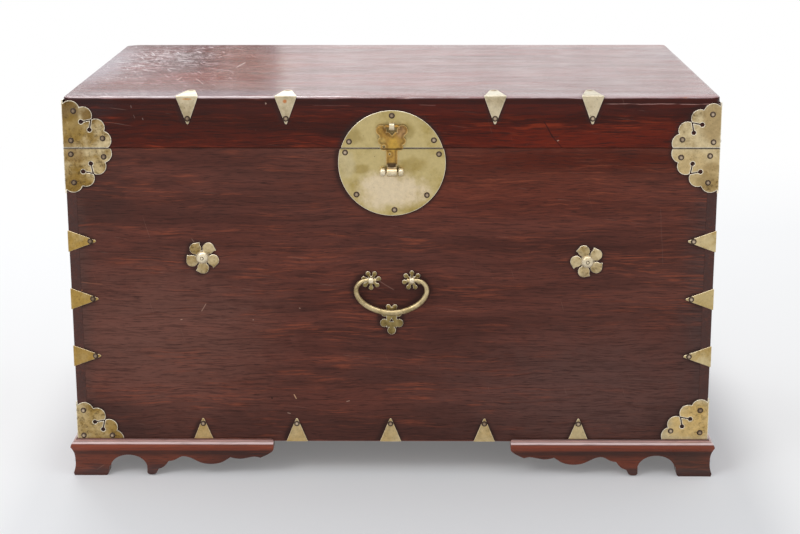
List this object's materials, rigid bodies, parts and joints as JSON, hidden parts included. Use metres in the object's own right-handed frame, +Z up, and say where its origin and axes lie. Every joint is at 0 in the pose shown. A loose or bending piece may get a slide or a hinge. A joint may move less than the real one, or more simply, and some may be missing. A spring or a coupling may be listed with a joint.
{
  "type": "lift-lid storage chest",
  "caption": "Lacquered wooden storage chest with a lift-up lid, round lock plate with hasp, drop bail, scalloped brass corners, straps and moulded bracket feet.",
  "frame": {"origin": "on the floor, at the middle of the overall width and depth", "axes": "+X along the front to the viewer's right, +Y from the front to the back, +Z up"},
  "size_m": [0.921, 0.5775, 0.5518],
  "materials": {
    "lacquered_wood": "dark red-brown lacquer over fine straight grain, worn and scuffed, glossy on top",
    "foot_wood": "redder lacquered hardwood, rubbed on the mouldings",
    "sheet_brass": "thin pale sheet brass with olive tarnish and brighter rims",
    "polished_brass": "pale brass polished by handling",
    "hasp_brass": "warmer golden brass, lightly tarnished"
  },
  "bodies": {
    "chest": {"front_board": "lacquered_wood", "back_board": "lacquered_wood", "left_side_board": "lacquered_wood", "right_side_board": "lacquered_wood", "bottom_board": "lacquered_wood", "front_bracket_left": "foot_wood", "front_bracket_right": "foot_wood", "side_bracket_front_left": "foot_wood", "side_bracket_front_right": "foot_wood", "side_bracket_rear_left": "foot_wood", "side_bracket_rear_right": "foot_wood", "rear_bracket_left": "foot_wood", "rear_bracket_right": "foot_wood", "foot_glue_blocks": "foot_wood", "lower_lock_plate": "sheet_brass", "lock_eye_left": "sheet_brass", "lock_eye_right": "sheet_brass", "body_corner_upper_left": "sheet_brass", "body_corner_upper_right": "sheet_brass", "body_corner_lower_left": "sheet_brass", "body_corner_lower_right": "sheet_brass", "side_straps_left": "sheet_brass", "side_straps_right": "sheet_brass", "bottom_straps": "sheet_brass", "bail_eye_left": "polished_brass", "bail_eye_right": "polished_brass", "bail_rosette_left": "sheet_brass", "bail_rosette_right": "sheet_brass", "bail_back_plate": "sheet_brass", "stud_rosette_left": "sheet_brass", "stud_rosette_right": "sheet_brass", "stud_dome_left": "polished_brass", "stud_dome_right": "polished_brass", "lock_plate_nails_lower": "sheet_brass", "body_corner_nails": "sheet_brass", "body_strap_nails": "sheet_brass", "hinge_lower_leaf_left": "sheet_brass", "hinge_lower_leaf_right": "sheet_brass", "hinge_pin_left": "sheet_brass", "hinge_pin_right": "sheet_brass"},
    "lid": {"lid_top_board": "lacquered_wood", "lid_front_rail": "lacquered_wood", "lid_back_rail": "lacquered_wood", "lid_left_rail": "lacquered_wood", "lid_right_rail": "lacquered_wood", "upper_lock_plate": "sheet_brass", "hasp_eye": "sheet_brass", "lid_corner_left": "sheet_brass", "lid_corner_right": "sheet_brass", "lid_straps": "sheet_brass", "lock_plate_nails_upper": "sheet_brass", "lid_corner_nails": "sheet_brass", "lid_strap_nails": "sheet_brass", "hinge_upper_leaf_left": "sheet_brass", "hinge_upper_leaf_right": "sheet_brass"},
    "hasp": {"hasp": "hasp_brass"},
    "bail": {"bail_handle": "polished_brass"}
  },
  "joints": [
    {"name": "lid_hinge", "type": "hinge", "parent": "chest", "child": "lid", "pos_m": [0, 0.2827, 0.4775], "axis": [-1, 0, 0], "range_deg": [0, 105]},
    {"name": "hasp_pivot", "type": "hinge", "parent": "lid", "child": "hasp", "pos_m": [0.001, -0.27748, 0.508], "axis": [-1, 0, 0], "range_deg": [0, 170]},
    {"name": "bail_pivot", "type": "hinge", "parent": "chest", "child": "bail", "pos_m": [0, -0.2841, 0.292], "axis": [-1, 0, 0], "range_deg": [0, 170]}
  ]
}
